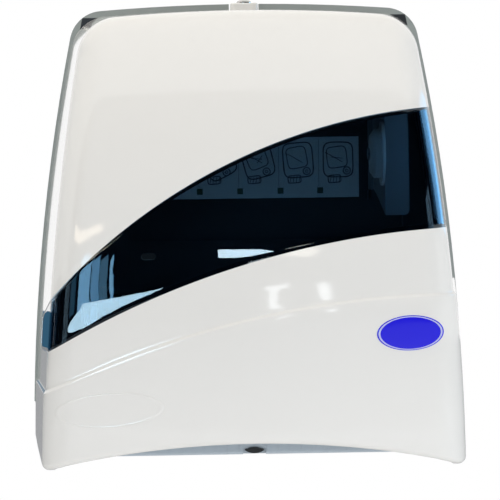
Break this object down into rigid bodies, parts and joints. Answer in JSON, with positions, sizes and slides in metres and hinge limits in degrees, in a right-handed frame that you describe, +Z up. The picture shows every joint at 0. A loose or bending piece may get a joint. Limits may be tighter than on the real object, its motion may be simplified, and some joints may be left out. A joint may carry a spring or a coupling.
{
  "type": "lever towel dispenser",
  "caption": "Wall-mounted roll towel dispenser with a hinged glossy white cover, a curved smoked window, a key lock and a push lever that turns the feed rollers.",
  "frame": {"origin": "on the wall face of the back plate, on the dispenser's centre line at half its height", "axes": "+Z up the wall, +Y into the wall, so the cover faces -Y, and +X to the right of someone who faces it"},
  "size_m": [0.3486, 0.2376, 0.352],
  "materials": {
    "cover_white": "glossy moulded ABS",
    "smoked_lens": "clear polished smoked acrylic",
    "badge_blue": "domed resin with a pale rim",
    "plate_grey": "fine textured moulded plastic",
    "label_print": "printed vinyl sheet",
    "module_dark": "textured black moulded plastic",
    "lever_grey": "satin blue-grey moulded plastic",
    "hub_plastic": "satin moulded acetal",
    "gear_plastic": "natural acetal",
    "knob_plastic": "satin green moulded plastic",
    "rubber_grey": "grooved rubber",
    "rubber_black": "matt rubber",
    "tear_steel": "brushed stainless strip",
    "shaft_steel": "ground bright steel",
    "spring_steel": "oiled spring wire",
    "screw_zinc": "zinc-plated screws",
    "lock_plated": "nickel-plated lock"
  },
  "bodies": {
    "wall_unit": {"back_plate": "plate_grey", "instruction_label": "label_print", "module_frame_left": "module_dark", "module_frame_right": "module_dark", "module_screws": "screw_zinc", "rear_beam": "module_dark", "front_beam": "module_dark", "roller_guard": "module_dark", "paper_guide": "module_dark", "tear_bar": "tear_steel", "tear_bar_rivets": "tear_steel", "drive_bushes": "hub_plastic", "pinch_blocks": "module_dark", "pinch_springs": "spring_steel", "pivot_pins": "shaft_steel", "pivot_clips": "shaft_steel", "lever_spring": "spring_steel", "gear_cover": "module_dark", "gear_cover_screws": "screw_zinc", "arm_pins": "shaft_steel", "arm_springs": "spring_steel", "hinge_pins": "shaft_steel"},
    "cover": {"front_cover": "cover_white", "window": "smoked_lens", "cover_badge": "badge_blue"},
    "lock": {"lock_barrel": "lock_plated", "lock_cam": "lock_plated", "cam_screw": "screw_zinc"},
    "lever": {"push_lever": "lever_grey", "lever_bumper": "rubber_black", "sector_gear": "gear_plastic", "sector_screws": "screw_zinc"},
    "drive_roller": {"drive_shaft": "shaft_steel", "drive_cores": "hub_plastic", "drive_sleeves": "rubber_grey", "pinion": "gear_plastic", "one_way_clutch": "shaft_steel", "feed_knob": "knob_plastic"},
    "pinch_roller": {"pinch_shaft": "shaft_steel", "pinch_sleeves": "rubber_grey"},
    "arm_left": {"roll_arm_left": "plate_grey", "hub_pin_left": "shaft_steel"},
    "arm_right": {"roll_arm_right": "plate_grey", "hub_pin_right": "shaft_steel"},
    "hub_left": {"core_hub_left": "hub_plastic"},
    "hub_right": {"core_hub_right": "hub_plastic"}
  },
  "joints": [
    {"name": "cover_hinge", "type": "hinge", "parent": "wall_unit", "child": "cover", "pos_m": [0, -0.017, -0.16], "axis": [1, 0, 0], "range_deg": [0, 80]},
    {"name": "lock_turn", "type": "hinge", "parent": "cover", "child": "lock", "pos_m": [0, -0.014, 0.15], "axis": [0, 0, 1], "range_deg": [0, 90]},
    {"name": "lever_pivot", "type": "hinge", "parent": "wall_unit", "child": "lever", "pos_m": [0, -0.2082, -0.0614], "axis": [1, 0, 0], "range_deg": [0, 25], "stiffness_Nm_per_rad": 1.6, "springref_deg": -14.32},
    {"name": "drive_spin", "type": "hinge", "parent": "wall_unit", "child": "drive_roller", "pos_m": [0, -0.15, -0.095], "axis": [1, 0, 0], "range_deg": [-151, 1]},
    {"name": "pinch_spin", "type": "hinge", "parent": "wall_unit", "child": "pinch_roller", "pos_m": [0, -0.1197, -0.095], "axis": [1, 0, 0], "range_deg": [-1, 260.1]},
    {"name": "arm_left_swing", "type": "hinge", "parent": "wall_unit", "child": "arm_left", "pos_m": [-0.10325, -0.012, 0.05], "axis": [0, 0, -1], "range_deg": [0, 5], "stiffness_Nm_per_rad": 1, "springref_deg": -28.65},
    {"name": "arm_right_swing", "type": "hinge", "parent": "wall_unit", "child": "arm_right", "pos_m": [0.10325, -0.012, 0.05], "axis": [0, 0, 1], "range_deg": [0, 5], "stiffness_Nm_per_rad": 1, "springref_deg": -28.65},
    {"name": "hub_left_spin", "type": "hinge", "parent": "arm_left", "child": "hub_left", "pos_m": [-0.0967, -0.11, 0.05], "axis": [1, 0, 0], "continuous": true},
    {"name": "hub_right_spin", "type": "hinge", "parent": "arm_right", "child": "hub_right", "pos_m": [0.0967, -0.11, 0.05], "axis": [1, 0, 0], "continuous": true}
  ],
  "couplings": [
    {"joint": "drive_spin", "follows": "lever_pivot", "ratio": -6},
    {"joint": "pinch_spin", "follows": "lever_pivot", "ratio": 10.364}
  ]
}
